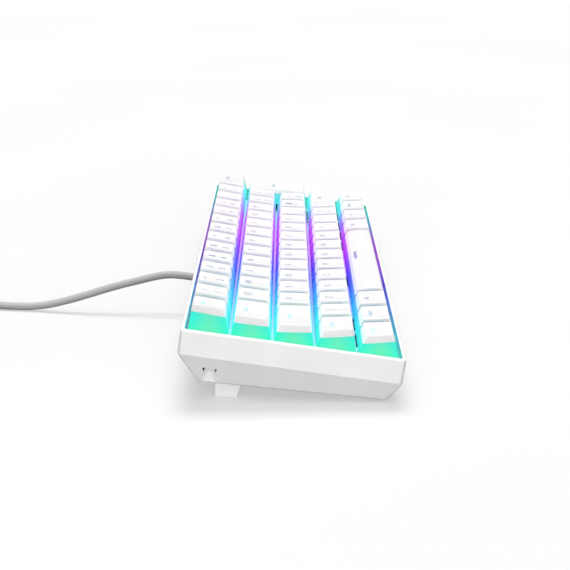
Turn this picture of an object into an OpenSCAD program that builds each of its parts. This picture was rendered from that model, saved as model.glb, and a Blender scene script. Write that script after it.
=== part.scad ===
// Compact desk keyboard with 62 keys, tilted on two opened feet, with its fixed cable
// Millimetres, +X to the right end, +Y to the back, +Z up from the desk

/* [Keys] */
// Distance between the centres of two plain keys
key_pitch = 19.05; // [18.95:0.05:19.1]
// Gap between the skirts of neighbouring keycaps
cap_gap = 0.95; // [0.8:0.05:1.1]
// How far a keycap's ends lean in for each unit of height
cap_slope = 0.25; // [0.22:0.01:0.26]
// Thickness of a keycap's walls and top
cap_wall = 1.35; // [1.2:0.05:1.45]
// Depth of a resting keycap's lower edge below the rim
skirt_drop = 1.5; // [1:0.1:2]
// Travel of a pressed key
key_travel = 4; // [3.5:0.1:4]

/* [Case] */
// Length of the case
case_l = 290.6; // [290.2:0.2:294]
// Width of the case, front to back
case_w = 100.4; // [100:0.2:100.8]
// Thickness of the walls at the rim
wall = 1.6; // [1.5:0.1:1.7]
// Thickness of the case's floor
floor_t = 2.4; // [2:0.1:2.6]
// Radius of the upright corners
corner_r = 2; // [1.5:0.5:3]
// Height of the upright band below the rim
band_h = 11.5; // [11:0.5:12]
// Depth of the case below the rim at its front edge
front_h = 21.5; // [21:0.5:22]
// Depth of the case below the rim at its back edge
back_h = 25.5; // [25:0.5:26]
// How far the ends lean in below the band
end_in = 6; // [5.5:0.5:6]
// How far the front leans in below the band
front_in = 5.4; // [4.9:0.1:5.9]
// How far the back leans in below the band
back_in = 10.7; // [10.2:0.5:11.2]

/* [Stand] */
// Tilt of the keyboard on its opened feet, in degrees
tilt = 8; // [7.5:0.1:8.5]
// Height of the rim's middle above the desk
rim_h = 28.6; // [28.4:0.1:29]
// Thickness of a foot
foot_t = 3.6; // [3:0.2:3.8]
// Width of a foot at the case
foot_w = 11.6; // [11.2:0.2:11.8]

/* [Cable] */
// Diameter of the cable
cable_d = 4; // [3.8:0.1:4.1]
// Place of the cable's outlet along the back
cable_x = -12; // [-20:1:0]
// Inner radius of the coil, to the middle of the cable
coil_r = 14; // [14:0.5:16]
// Step from turn to turn in the coil
coil_step = 5; // [5:0.1:5.4]
// Step from layer to layer in the coil
coil_rise = 4.8; // [4.8:0.1:5.2]

/* [Hidden] */
$fn = 48;
hair = 0.03;
eps = 0.01;

// Key rows from back to front: node and width in pitches of each key
ROWS = [
    concat([["key_escape", 1]], [for (i = [1:12]) ["number_keys", 1]], [["key_backspace", 2]]),
    concat([["key_tab", 1.5]], [for (c = "qwertyuiop") [str("key_", c), 1]],
           [for (i = [1:2]) ["punctuation_keys", 1]]),
    concat([["key_caps_lock", 1.75]], [for (c = "asdfghjkl") [str("key_", c), 1]],
           [for (i = [1:3]) ["punctuation_keys", 1]]),
    concat([["key_left_shift", 1.25], ["punctuation_keys", 1]], [for (c = "zxcvbnm") [str("key_", c), 1]],
           [for (i = [1:3]) ["punctuation_keys", 1]], [["key_right_shift", 2.75]]),
    concat([for (i = [1:3]) ["modifier_keys", 1.25]], [["key_space", 6.25]],
           [for (i = [1:4]) ["modifier_keys", 1.25]]),
];
// Height of each row's caps above the rim, and how far their tops tip up at the front, in degrees
ROW_TOP = [10.3, 8.4, 7.7, 8.2, 8.3];
ROW_TIP = [-2.4, 0.6, 6.6, 10.6, 11.1];
// How far each row's caps lean in at the back and at the front for each unit of height
ROW_LEAN = [[0.05, 0.3], [0.12, 0.3], [0.2, 0.29], [0.24, 0.27], [0.24, 0.36]];
row_units = 15;

function start_of(row, i) = i == 0 ? 0 : start_of(row, i - 1) + row[i - 1][1];
function unit_x(u) = (u - row_units / 2) * key_pitch;
function row_y(r) = (2 - r) * key_pitch;

// One entry a key: node, place of its switch, width in pitches, row
KEYS = [
    for (r = [0:4]) for (i = [0:len(ROWS[r]) - 1])
        let (w = ROWS[r][i][1])
        [ROWS[r][i][0], [unit_x(start_of(ROWS[r], i) + w / 2), row_y(r)], w, r]
];

// The tall enter key spans two rows and is wider at its back
enter_at = [unit_x(14.375), key_pitch / 2];
enter_top = 8.1;
enter_tip = 3.5;
enter_lean = [0.12, 0.29];
SWITCH_SPOTS = concat([for (k = KEYS) k[1]], [enter_at]);

// Stabilised keys: name, place, distance of each stem, turn of the bar, side of the bar
STABS = [
    ["backspace", [unit_x(14), row_y(0)], 11.9, 0, 1],
    ["enter", enter_at, 11.9, 90, 1],
    ["right_shift", [unit_x(13.625), row_y(3)], 11.9, 0, 1],
    ["space", [unit_x(6.875), row_y(4)], 50, 0, -1],
];

// Levels below the rim
cap_z = -skirt_drop;
plate_z = -7.5;
plate_t = 1.5;
board_z = -12.5;
board_t = 1.6;
board_under = board_z - board_t;
board_back = 44.9;
board_front = -45.6;
board_end = 1.6;

// Switch: housing, slider and spring
flange_w = 15.6;
flange_t = 0.9;
base_w = 13.9;
slot_w = [7.4, 6.4];
well_floor = board_z + 1;
top_z = -0.9;
shoulder_z = -4.5;
slider_w = [7, 6];
slider_z = -7.2;
slider_top = -1;
stem_top = 2.7;
stem_w = 4;
stem_t = 1.2;
spring_d = 4.3;
spring_bore = 3.5;
spring_hole = 4.8;
spring_roof = -2.5;
post_d = 5.6;
post_z = -0.7;
led_w = [3.4, 2.6, 1.4];
led_y = 5.4;

// Stabiliser: bar, arms, housings and sliding inserts
bar_d = 1.6;
bar_off = 8.7;
bar_z = -6.55;
insert_q = 1;
arm_l = bar_off + 0.9;
arm_tip = atan(key_travel / 2 / (bar_off - insert_q));
insert_w = [4, 3];
insert_z = [slider_z, -1.5];
insert_post = [3.4, 3];
tunnel = [2.2, 2.9];
stab_w = [6.8, 12];
stab_well = [4.6, 9.6];
stab_top = -2;

// Case: section across, and section from end to end
half_l = case_l / 2;
half_w = case_w / 2;
foot_line = case_w - front_in - back_in;
floor_tip = atan((back_h - front_h) / foot_line);
function under_z(y) = -front_h - (y + half_w - front_in) * tan(floor_tip);
cavity_drop = band_h - 0.6;
lean_t = 1;
screw_spots = [for (u = [[-5, 1], [4, 1], [-0.75, 0], [-4.25, -1], [2.75, -1]]) u * key_pitch];
screw_z = -19;

// Feet: hinge across the end of the case, folding in towards the middle
foot_x = -134.2;
foot_y = 26.2;
hinge_up = 2.6;
barrel_d = 5;
pivot_d = 2.2;
pivot_bore = 2.3;
pivot_l = 1.7;
foot_reach = 9.4;
pocket_l = 11.8;
pocket_back = 2.9;
pocket_h = 5.5;
pocket_wall = 1.6;
pocket_side = foot_w / 2 + 0.4;
ear_t = 2;

// Finger notch beside each foot, with a round eye into the case at each upper corner
notch_y = [31.3, 32.9, 37.4, 38.9];
notch_top = -17.9;
notch_end = -138;
notch_back = -129.4;
notch_eye = 1.8;
eye_end = -127;

// Rubber pads under the corners
pad_d = 10;
pad_in = 0.8;
pad_out = 3;
PAD_SPOTS = [for (x = [-110, 110]) for (y = [-38, 15]) [x, y]];

// Cable outlet in the sloped back
outlet_z = -16.5;
outlet_y = 49.5;
grommet_lip = 1;
boss_d = 11;
grommet_d = 6.9;
grommet_bore = 7;
lip_d = 9;
boss_in = 42;
grommet_in = 45.1;
header_w = [10, 6, 3.6];
header_y = 36;

// The whole keyboard leans back on the desk, centred over the origin
desk_y = (half_w * cos(tilt) - outlet_y * cos(tilt) - (lip_d / 2 - outlet_z) * sin(tilt)) / 2;
outlet = [cable_x, desk_y + outlet_y * cos(tilt) - outlet_z * sin(tilt),
          rim_h + outlet_y * sin(tilt) + outlet_z * cos(tilt)];

// Coil: two layers, spiralling in below and out above
coil_turns_in = 4.25;
coil_turns_out = 4.5;
coil_rings = 24;
coil_sides = 6;
coil_outer = coil_r + coil_turns_in * coil_step;
coil_last = coil_r + coil_turns_out * coil_step;
coil_at = [cable_x + 2.25 - coil_outer, 206];
tie_t = 0.5;
tie_gap = 0.3;
tie_w = 8;
coil_z = tie_t + tie_gap + cable_d / 2;
plug_w = [32, 16, 8.5];
plug_z = plug_w[2] / 2;
plug_neck = [8, 9, 6.5];
shell_w = [18.7, 12, 4.5];
shell_t = 0.3;
tail_l = 26;
tail_step = 4;
plug_x = coil_at[0] - tail_l - cable_d;
plug_y = coil_at[1] + coil_last;

// Route of the free cable from the outlet to the coil: aside from the outlet, back, up
tube_sides = 8;
LAY = [
    [0, 66, 20.6], [0, 74, 19.3], [-0.5, 82, 17.4], [-1, 90, 15.5], [-1.5, 98, 13.3],
    [-2, 106, 10.9], [-2, 114, 8.4], [-1.5, 122, 6], [-1, 131, 3.8], [0, 140, 2.5],
    [1, 150, 2.2], [2, 160, 2.4], [2.5, 171, 2.6], [2.5, 182, 2.8], [2.25, 192, 2.8],
];
ROUTE = concat(
    [outlet, outlet + 2 * cable_d * [0, cos(tilt), sin(tilt)]],
    [for (p = LAY) p + [cable_x, 0, 0]],
    [[coil_at[0] + coil_outer, coil_at[1] - cable_d, coil_z]]
);

function coil_radius(u) =
    u < coil_turns_in ? coil_outer - coil_step * u :
    u < coil_turns_in + 0.5 ? coil_r :
    coil_r + coil_step * (u - coil_turns_in - 0.5);
function coil_height(u) = coil_z + coil_rise * min(max((u - coil_turns_in) * 2, 0), 1);
function coil_point(u) = [
    coil_at[0] + coil_radius(u) * cos(360 * u),
    coil_at[1] + coil_radius(u) * sin(360 * u),
    coil_height(u)
];
coil_turns = coil_turns_in + 0.5 + coil_turns_out;
WOUND = [for (i = [0:round(coil_turns * coil_rings)]) coil_point(i / coil_rings)];
function tail_point(s) = [
    coil_at[0] - s,
    plug_y,
    plug_z + (coil_z + coil_rise - plug_z) * (1 + cos(180 * s / tail_l)) / 2
];
COIL_PATH = concat(
    [WOUND[0] - [0, cable_d, 0]],
    WOUND,
    [for (s = [tail_step:tail_step:tail_l - eps]) tail_point(s)],
    [tail_point(tail_l), tail_point(tail_l) - [cable_d, 0, 0]]
);

// Least gap of the coil to itself, and the length of the whole cable
function path_length(p) = let (steps = [for (i = [1:len(p) - 1]) norm(p[i] - p[i - 1])])
    steps * [for (s = steps) 1];
coil_gap = min([
    for (i = [0:len(COIL_PATH) - coil_rings / 2 - 1])
        for (j = [i + coil_rings / 2:len(COIL_PATH) - 1])
            norm(COIL_PATH[i] - COIL_PATH[j])
]) - cable_d;
echo(coil_gap = coil_gap);
echo(cable_length = path_length(ROUTE) + path_length(COIL_PATH));

FIXED_NODES = [
    "bottom_case", "switch_plate", "circuit_board", "controller_chip", "backlight_leds",
    "switch_housings", "switch_springs", "stabiliser_housings", "case_screws", "rubber_pads",
    "cable_grommet", "cable_header", "usb_cable", "cable_coil", "cable_tie", "usb_a_plug", "usb_a_shell",
];
FOOT_NODES = ["tilt_foot_left", "tilt_foot_right"];
WIRE_NODES = [for (s = STABS) str("wire_", s[0])];
KEY_NODES = concat(
    ["key_escape", "key_backspace", "key_tab", "key_caps_lock", "key_enter",
     "key_left_shift", "key_right_shift", "key_space",
     "number_keys", "punctuation_keys", "modifier_keys"],
    [for (c = "qwertyuiopasdfghjklzxcvbnm") str("key_", c)]
);

// From the keyboard's own frame, with the rim at zero height, to the desk
module on_desk() {
    translate([0, desk_y, rim_h]) rotate([tilt, 0, 0]) children();
}

// From a frame on the sloped underside to the keyboard's frame
module on_underside(x, y) {
    translate([x, y, under_z(y)]) rotate([-floor_tip, 0, 0]) children();
}

module box(size, z0, z1) {
    translate([-size[0] / 2, -size[1] / 2, z0]) cube([size[0], size[1], z1 - z0]);
}

module above_desk() {
    translate([-case_l, -case_l, 0]) cube([2 * case_l, 2 * case_l, case_l]);
}

// Section in Y and Z drawn out along X, and section in X and Z drawn out along Y
module along_x(l) {
    rotate([90, 0, 90]) linear_extrude(l, center = true) children();
}

module along_y(l) {
    rotate([90, 0, 0]) linear_extrude(l, center = true) children();
}

// Reach of a keycap's leaning side at a level
function side_at(half, lean, z) = half - lean * (z - cap_z);

// Keycap block with leaning sides and a tipped top; half is its half size at the skirt's lower edge
module cap_block(half, z0, top, tip, lean) {
    t = tan(tip);
    z_back = (top - t * side_at(half[1], lean[0], 0)) / (1 - t * lean[0]);
    z_front = (top + t * side_at(half[1], lean[1], 0)) / (1 + t * lean[1]);
    z_over = max(z_front, z_back) + 1;
    low = side_at(half[0], cap_slope, z0);
    high = side_at(half[0], cap_slope, z_over);
    intersection() {
        along_x(2 * half[0] + 2) polygon([
            [-side_at(half[1], lean[1], z0), z0],
            [side_at(half[1], lean[0], z0), z0],
            [side_at(half[1], lean[0], z_back), z_back],
            [-side_at(half[1], lean[1], z_front), z_front],
        ]);
        along_y(2 * half[1] + 2) polygon([[-low, z0], [low, z0], [high, z_over], [-high, z_over]]);
    }
}

function cap_half(w, d) = [w * key_pitch - cap_gap, d * key_pitch - cap_gap] / 2;

module cap_well(half, top, tip, lean) {
    cap_block(half - [1, 1] * cap_wall, cap_z - 1, top - cap_wall, tip, lean);
}

module stem_cross(grow, z0, z1) {
    box([stem_w + grow, stem_t + grow], z0, z1);
    box([stem_t + grow, stem_w + grow], z0, z1);
}

module cap_post() {
    difference() {
        translate([0, 0, post_z]) cylinder(d = post_d, h = max(ROW_TOP), $fn = 8);
        stem_cross(2 * hair, post_z - 1, stem_top + 10 * hair);
    }
}

module slider() {
    difference() {
        union() {
            box(slider_w, slider_z, slider_top);
            stem_cross(0, slider_top - eps, stem_top);
        }
        box([spring_hole, spring_hole], slider_z - 1, spring_roof);
    }
}

module plain_cap(w, top, tip, lean) {
    half = cap_half(w, 1);
    difference() {
        cap_block(half, cap_z, top, tip, lean);
        cap_well(half, top, tip, lean);
    }
}

// A hair-wide slit beside the shoulder leaves two blocks without an inward corner
module enter_cap() {
    tall = cap_half(1.25, 2);
    wide = cap_half(1.5, 1);
    wide_off = [-key_pitch / 8, key_pitch / 2, 0];
    wide_top = enter_top - tan(enter_tip) * wide_off[1];
    difference() {
        union() {
            cap_block(tall, cap_z, enter_top, enter_tip, enter_lean);
            translate(wide_off) cap_block(wide, cap_z, wide_top, enter_tip, enter_lean);
        }
        cap_well(tall, enter_top, enter_tip, enter_lean);
        translate(wide_off) cap_well(wide, wide_top, enter_tip, enter_lean);
        translate([-tall[0] - hair, 0, cap_z - 1]) cube([hair, key_pitch, 2 * enter_top]);
    }
}

// Frame of a stabiliser: first axis along its bar, second towards the bar
module stab_frame(s) {
    rotate(s[3] + (s[4] < 0 ? 180 : 0)) children();
}

module at_stems(s) {
    stab_frame(s) for (p = [-1, 1]) translate([p * s[2], 0, 0]) children();
}

module stab_insert() {
    translate([0, insert_q, 0]) difference() {
        box(insert_w, insert_z[0], insert_z[1]);
        translate([0, 0, bar_z + key_travel / 2 - tunnel[1] / 2])
            box([tunnel[0], insert_w[1] + 1], 0, tunnel[1]);
    }
}

module stab_post() {
    translate([0, insert_q, 0]) box(insert_post, insert_z[1] + hair, max(ROW_TOP));
}

// Posts under a cap, ending half way through its top
module cap_posts(name, half, top, tip, lean) {
    intersection() {
        cap_block(half, cap_z, top - cap_wall / 2, tip, lean);
        union() {
            cap_post();
            for (s = STABS) if (name == str("key_", s[0])) at_stems(s) stab_post();
        }
    }
}

module key_works(name) {
    slider();
    for (s = STABS) if (name == str("key_", s[0])) at_stems(s) stab_insert();
}

// All the keys of one node: each keycap with its slider, and the inserts of a long key
module keys(name) {
    color("white") on_desk() {
        for (k = KEYS) if (k[0] == name) translate(k[1]) {
            plain_cap(k[2], ROW_TOP[k[3]], ROW_TIP[k[3]], ROW_LEAN[k[3]]);
            cap_posts(name, cap_half(k[2], 1), ROW_TOP[k[3]], ROW_TIP[k[3]], ROW_LEAN[k[3]]);
            key_works(name);
        }
        if (name == "key_enter") translate(enter_at) {
            enter_cap();
            cap_posts(name, cap_half(1.25, 2), enter_top, enter_tip, enter_lean);
            key_works(name);
        }
    }
}

module wire(s) {
    color("dimgray") on_desk() translate(s[1]) stab_frame(s)
        translate([0, bar_off, bar_z]) rotate([-arm_tip, 0, 0]) {
            rotate([0, 90, 0]) cylinder(d = bar_d, h = 2 * s[2] + bar_d, center = true);
            for (p = [-1, 1]) translate([p * s[2], 0, 0])
                rotate([90, 0, 0]) cylinder(d = bar_d, h = arm_l);
        }
}

module case_plan(l, w, r) {
    square([l - 2 * r, w], center = true);
    square([l, w - 2 * r], center = true);
    for (x = [-1, 1]) for (y = [-1, 1])
        translate([x * (l / 2 - r), y * (w / 2 - r)]) circle(r);
}

module case_block() {
    intersection() {
        translate([0, 0, -back_h - 1]) linear_extrude(back_h + 1) case_plan(case_l, case_w, corner_r);
        along_x(case_l + 1) polygon([
            [-half_w - 1, 1], [half_w + 1, 1], [half_w + 1, -band_h + 1],
            [half_w, -band_h], [half_w - back_in, -back_h],
            [-half_w + front_in, -front_h], [-half_w, -band_h], [-half_w - 1, -band_h + 1],
        ]);
        along_y(case_w + 1) polygon([
            [-half_l - 1, 1], [half_l + 1, 1], [half_l + 1, -band_h + 1], [half_l, -band_h],
            [half_l - end_in, -back_h], [-half_l + end_in, -back_h], [-half_l, -band_h],
            [-half_l - 1, -band_h + 1],
        ]);
    }
}

module case_cavity() {
    in_l = half_l - wall;
    in_w = half_w - wall;
    intersection() {
        translate([0, 0, -back_h]) linear_extrude(back_h + 1)
            case_plan(2 * in_l, 2 * in_w, corner_r / 2);
        along_x(case_l) polygon([
            [-in_w - 1, 2], [in_w + 1, 2], [in_w + 1, -cavity_drop],
            [in_w, -cavity_drop], [half_w - back_in - lean_t, -back_h + floor_t],
            [-half_w + front_in + lean_t, -front_h + floor_t], [-in_w, -cavity_drop],
            [-in_w - 1, -cavity_drop],
        ]);
        along_y(case_w) polygon([
            [-in_l - 1, 2], [in_l + 1, 2], [in_l + 1, -cavity_drop], [in_l, -cavity_drop],
            [half_l - end_in - lean_t, -back_h + floor_t],
            [-half_l + end_in + lean_t, -back_h + floor_t],
            [-in_l, -cavity_drop], [-in_l - 1, -cavity_drop],
        ]);
    }
}

module pocket(grow, z0, z1) {
    on_underside(foot_x, foot_y)
        translate([-pocket_back - grow, -pocket_side - min(grow, ear_t), z0])
            cube([pocket_l + pocket_back + 2 * grow, 2 * (pocket_side + min(grow, ear_t)), z1 - z0]);
}

module pivot_line(d, l) {
    translate([0, 0, hinge_up]) rotate([90, 0, 0]) cylinder(d = d, h = l, center = true);
}

module notch() {
    below = -back_h - 1;
    translate([notch_end - end_in - 4, 0, 0]) along_x(2 * (end_in + 4)) polygon([
        [notch_y[0], below], [notch_y[3], below], [notch_y[2], notch_top], [notch_y[1], notch_top],
    ]);
    for (y = [notch_y[1], notch_y[2]]) translate([-half_l, y, notch_top])
        rotate([0, 90, 0]) cylinder(d = notch_eye, h = half_l + eye_end);
}

module notch_walls() {
    x0 = -half_l;
    y0 = notch_y[0] - pocket_wall;
    translate([x0, y0, -back_h - 1])
        cube([notch_back - x0, half_w - y0, back_h + 1 + notch_top + pocket_wall]);
}

module both_ends() {
    children();
    mirror([1, 0, 0]) children();
}

module standoff(at) {
    z0 = under_z(at[1]) + floor_t / 2;
    translate([at[0], at[1], z0]) cylinder(d = 6, h = board_under - z0);
}

module outlet_line(d, y0, y1) {
    translate([cable_x, y1, outlet_z]) rotate([90, 0, 0]) cylinder(d = d, h = y1 - y0);
}

module bottom_case() {
    color("whitesmoke") on_desk() difference() {
        union() {
            difference() {
                union() {
                    case_block();
                    outlet_line(boss_d, boss_in, outlet_y - grommet_lip);
                }
                case_cavity();
            }
            intersection() {
                case_block();
                union() {
                    for (s = screw_spots) standoff(s);
                    both_ends() pocket(pocket_wall, floor_t / 2, pocket_h + pocket_wall);
                    both_ends() notch_walls();
                }
            }
        }
        for (s = screw_spots) translate([s[0], s[1], screw_z - 0.5]) cylinder(d = 2, h = 10);
        both_ends() pocket(0, -4, pocket_h);
        both_ends() on_underside(foot_x, foot_y) pivot_line(pivot_bore, 2 * (pocket_side + ear_t) + 1);
        both_ends() notch();
        for (p = PAD_SPOTS) on_underside(p[0], p[1])
            translate([0, 0, -1]) cylinder(d = pad_d + 0.1, h = 1 + pad_in);
        outlet_line(grommet_bore, boss_in - 3, outlet_y);
        outlet_line(lip_d + 0.2, outlet_y - grommet_lip, outlet_y + 1);
    }
}

module tilt_foot() {
    intersection() {
        on_desk() on_underside(foot_x, foot_y) {
            along_x(foot_t) polygon([
                [-foot_w / 2, hinge_up], [foot_w / 2, hinge_up], [foot_w / 2, 0],
                [foot_w / 2 - 0.5, -foot_reach], [-foot_w / 2 + 1.4, -foot_reach], [-foot_w / 2, 0],
            ]);
            pivot_line(barrel_d, foot_w);
            pivot_line(pivot_d, foot_w + 2 * pivot_l);
        }
        above_desk();
    }
}

module tilt_foot_left() {
    color("whitesmoke") tilt_foot();
}

module tilt_foot_right() {
    color("whitesmoke") mirror([1, 0, 0]) tilt_foot();
}

module rubber_pads() {
    color("dimgray") intersection() {
        on_desk() for (p = PAD_SPOTS) on_underside(p[0], p[1])
            translate([0, 0, -pad_out]) cylinder(d = pad_d, h = pad_out + pad_in);
        above_desk();
    }
}

module stab_cutout() {
    square(stab_w + [0.3, 0.3], center = true);
    translate([-1.3, 0]) square([2.6, bar_off + 1.2]);
}

module switch_plate() {
    color("white") on_desk() translate([0, 0, plate_z - plate_t]) linear_extrude(plate_t) difference() {
        square([row_units * key_pitch - 0.4, 5 * key_pitch - 0.4], center = true);
        for (s = SWITCH_SPOTS) translate(s) square(14, center = true);
        for (s = STABS) translate(s[1]) at_stems(s) stab_cutout();
        for (s = screw_spots) translate(s) circle(d = 4.4);
    }
}

module circuit_board() {
    color("darkslategray") on_desk() translate([0, 0, board_under]) linear_extrude(board_t) difference() {
        translate([0, (board_back + board_front) / 2])
            square([row_units * key_pitch - 2 * board_end, board_back - board_front], center = true);
        for (s = screw_spots) translate(s) circle(d = 2.2);
    }
}

module controller_chip() {
    color("black") on_desk() translate([30, 0, 0]) box([9, 9], board_under - 1.5, board_under);
}

module backlight_leds() {
    color("lightyellow") on_desk() for (s = SWITCH_SPOTS) translate(s) translate([0, led_y, 0])
        box([led_w[0], led_w[1]], board_z, board_z + led_w[2]);
}

module switch_base() {
    difference() {
        union() {
            box([base_w, base_w], board_z, plate_z + eps);
            box([flange_w, flange_w], plate_z, plate_z + flange_t);
        }
        box(slot_w, well_floor, 0);
        translate([0, led_y, 0]) box([led_w[0] + 1, 3.2], board_z - 1, plate_z - plate_t);
    }
}

module switch_top() {
    difference() {
        union() {
            box([13.4, 13.4], plate_z + flange_t + hair, shoulder_z);
            box([11, 10.6], shoulder_z - eps, top_z);
        }
        box(slot_w, plate_z, 0);
    }
}

module switch_housings() {
    color("black") on_desk() for (s = SWITCH_SPOTS) translate(s) {
        switch_base();
        switch_top();
    }
}

module switch_springs() {
    z1 = spring_roof - key_travel - 0.1;
    color("silver") on_desk() for (s = SWITCH_SPOTS) translate([s[0], s[1], well_floor])
        linear_extrude(z1 - well_floor) difference() {
            circle(d = spring_d, $fn = 8);
            circle(d = spring_bore, $fn = 8);
        }
}

module stabiliser_housings() {
    color("black") on_desk() for (s = STABS) translate(s[1]) at_stems(s) difference() {
        box(stab_w, board_z, stab_top);
        box(stab_well, board_z + 1, 0);
        translate([0, stab_w[1] / 2, bar_z - 3]) box([tunnel[0] + 0.4, 4], 0, 6);
    }
}

module case_screws() {
    color("silver") on_desk() for (s = screw_spots) translate(s) {
        translate([0, 0, board_z]) cylinder(d = 4, h = 1.4);
        translate([0, 0, screw_z]) cylinder(d = 1.9, h = board_z - screw_z + eps);
    }
}

module cable_grommet() {
    color("dimgray") on_desk() {
        outlet_line(grommet_d, grommet_in, outlet_y - grommet_lip + eps);
        outlet_line(lip_d, outlet_y - grommet_lip, outlet_y);
    }
}

module cable_header() {
    color("ivory") on_desk() {
        translate([cable_x, header_y, 0])
            box([header_w[0], header_w[1]], board_under - header_w[2], board_under);
        outlet_line(cable_d, header_y + header_w[1] / 2 + hair, grommet_in - hair);
    }
}

// Tube swept along points, its rings square to the path
function unit(v) = v / norm(v);
function heading(p, i) =
    i == 0 ? unit(p[1] - p[0]) :
    i == len(p) - 1 ? unit(p[i] - p[i - 1]) :
    unit(unit(p[i + 1] - p[i]) + unit(p[i] - p[i - 1]));
function ring(at, dir, r, sides) =
    let (side = unit(cross(dir, [0, 0, 1])), up = cross(side, dir))
    [for (k = [0:sides - 1]) at + r * (side * cos(360 * k / sides) + up * sin(360 * k / sides))];

module tube(path, d, sides) {
    n = len(path);
    points = [for (i = [0:n - 1]) each ring(path[i], heading(path, i), d / 2, sides)];
    walls = [
        for (i = [0:n - 2]) for (k = [0:sides - 1])
            let (a = i * sides + k, b = i * sides + (k + 1) % sides)
            each [[a, b, a + sides], [b, b + sides, a + sides]]
    ];
    first = [for (k = [1:sides - 2]) [0, k + 1, k]];
    last = [for (k = [1:sides - 2]) (n - 1) * sides * [1, 1, 1] + [0, k, k + 1]];
    polyhedron(points, concat(walls, first, last));
}

module usb_cable() {
    color("lightgray") tube(ROUTE, cable_d, tube_sides);
}

module cable_coil() {
    color("lightgray") tube(COIL_PATH, cable_d, coil_sides);
}

// Flat band round one side of the coil
module cable_tie() {
    inner = coil_r - cable_d / 2 - 1.4;
    outer = coil_last + cable_d / 2 + tie_gap;
    top = coil_z + coil_rise + cable_d / 2 + tie_gap;
    color("dimgray") translate([coil_at[0] - outer, coil_at[1], 0]) difference() {
        translate([-tie_t, -tie_w / 2, 0]) cube([outer - inner + 2 * tie_t, tie_w, top + tie_t]);
        translate([0, -tie_w, tie_t]) cube([outer - inner, 2 * tie_w, top - tie_t]);
    }
}

module usb_a_plug() {
    color("lightgray") translate([plug_x, plug_y, plug_z]) {
        translate([-plug_neck[0], -plug_neck[1] / 2, -plug_neck[2] / 2]) cube(plug_neck);
        translate([-plug_w[0], -plug_w[1] / 2, -plug_w[2] / 2])
            cube([plug_w[0] - plug_neck[0] + eps, plug_w[1], plug_w[2]]);
        translate([-plug_w[0] - shell_w[0] + 0.5, -5.4, 0.2]) cube([shell_w[0], 10.8, 1.4]);
    }
}

module usb_a_shell() {
    bore = [shell_w[0] + 2, shell_w[1] - 2 * shell_t, shell_w[2] - 2 * shell_t];
    color("silver") translate([plug_x - plug_w[0] - shell_w[0] / 2, plug_y, plug_z]) difference() {
        cube(shell_w, center = true);
        cube(bore, center = true);
    }
}

bottom_case();
switch_plate();
circuit_board();
controller_chip();
backlight_leds();
switch_housings();
switch_springs();
stabiliser_housings();
case_screws();
rubber_pads();
cable_grommet();
cable_header();
usb_cable();
cable_coil();
cable_tie();
usb_a_plug();
usb_a_shell();
tilt_foot_left();
tilt_foot_right();
for (s = STABS) wire(s);
for (name = KEY_NODES) keys(name);
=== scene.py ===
import math

import bmesh
import bpy
from mathutils import Matrix, Vector


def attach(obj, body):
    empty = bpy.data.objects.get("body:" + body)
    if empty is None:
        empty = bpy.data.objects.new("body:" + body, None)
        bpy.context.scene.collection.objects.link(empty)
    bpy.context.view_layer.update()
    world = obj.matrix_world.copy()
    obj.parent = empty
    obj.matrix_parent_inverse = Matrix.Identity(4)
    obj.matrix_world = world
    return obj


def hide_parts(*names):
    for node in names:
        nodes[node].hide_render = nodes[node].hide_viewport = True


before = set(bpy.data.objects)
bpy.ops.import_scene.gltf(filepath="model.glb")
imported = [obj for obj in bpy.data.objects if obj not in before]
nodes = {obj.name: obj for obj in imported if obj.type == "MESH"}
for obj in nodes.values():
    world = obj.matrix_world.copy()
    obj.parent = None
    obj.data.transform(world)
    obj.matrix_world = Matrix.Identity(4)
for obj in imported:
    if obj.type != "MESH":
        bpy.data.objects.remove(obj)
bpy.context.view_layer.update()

MM = 0.001

# The keyboard's own frame, in millimetres: rim at zero height, X along the rows, Y to the back
TILT = math.radians(8)
RIM_H = 28.6
DESK_Y = -1.1147
ON_DESK = Matrix.Translation((0, DESK_Y, RIM_H)) @ Matrix.Rotation(TILT, 4, "X")
TO_SCENE = Matrix.Scale(MM, 4) @ ON_DESK
FROM_SCENE = ON_DESK.inverted() @ Matrix.Scale(1 / MM, 4)
PITCH = 19.05
SKIRT_Z = -1.5
CASE_HALF_L, CASE_HALF_W = 145.3, 50.2
WALL_T = 1.5

# Camera, fitted to the rows of keys in the picture
CAMERA_AT = (-0.685852, 0.002865, 0.221708)
CAMERA_RIGHT = Vector((0.001669, -0.999987, 0.00476))
CAMERA_DOWN = Vector((-0.293017, -0.005041, -0.956094))
CAMERA_AHEAD = Vector((0.956106, 0.000201, -0.293022))
LENS = 82.71
SENSOR = 36


def make_camera():
    data = bpy.data.cameras.new("camera")
    data.lens = LENS
    data.sensor_width = SENSOR
    data.sensor_fit = "HORIZONTAL"
    data.clip_start = 0.01
    camera = bpy.data.objects.new("camera", data)
    turn = Matrix((CAMERA_RIGHT, -CAMERA_DOWN, -CAMERA_AHEAD)).transposed()
    camera.matrix_world = Matrix.Translation(CAMERA_AT) @ turn.to_4x4()
    bpy.context.collection.objects.link(camera)
    bpy.context.scene.camera = camera


# Nodes of materials and of the light

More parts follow.
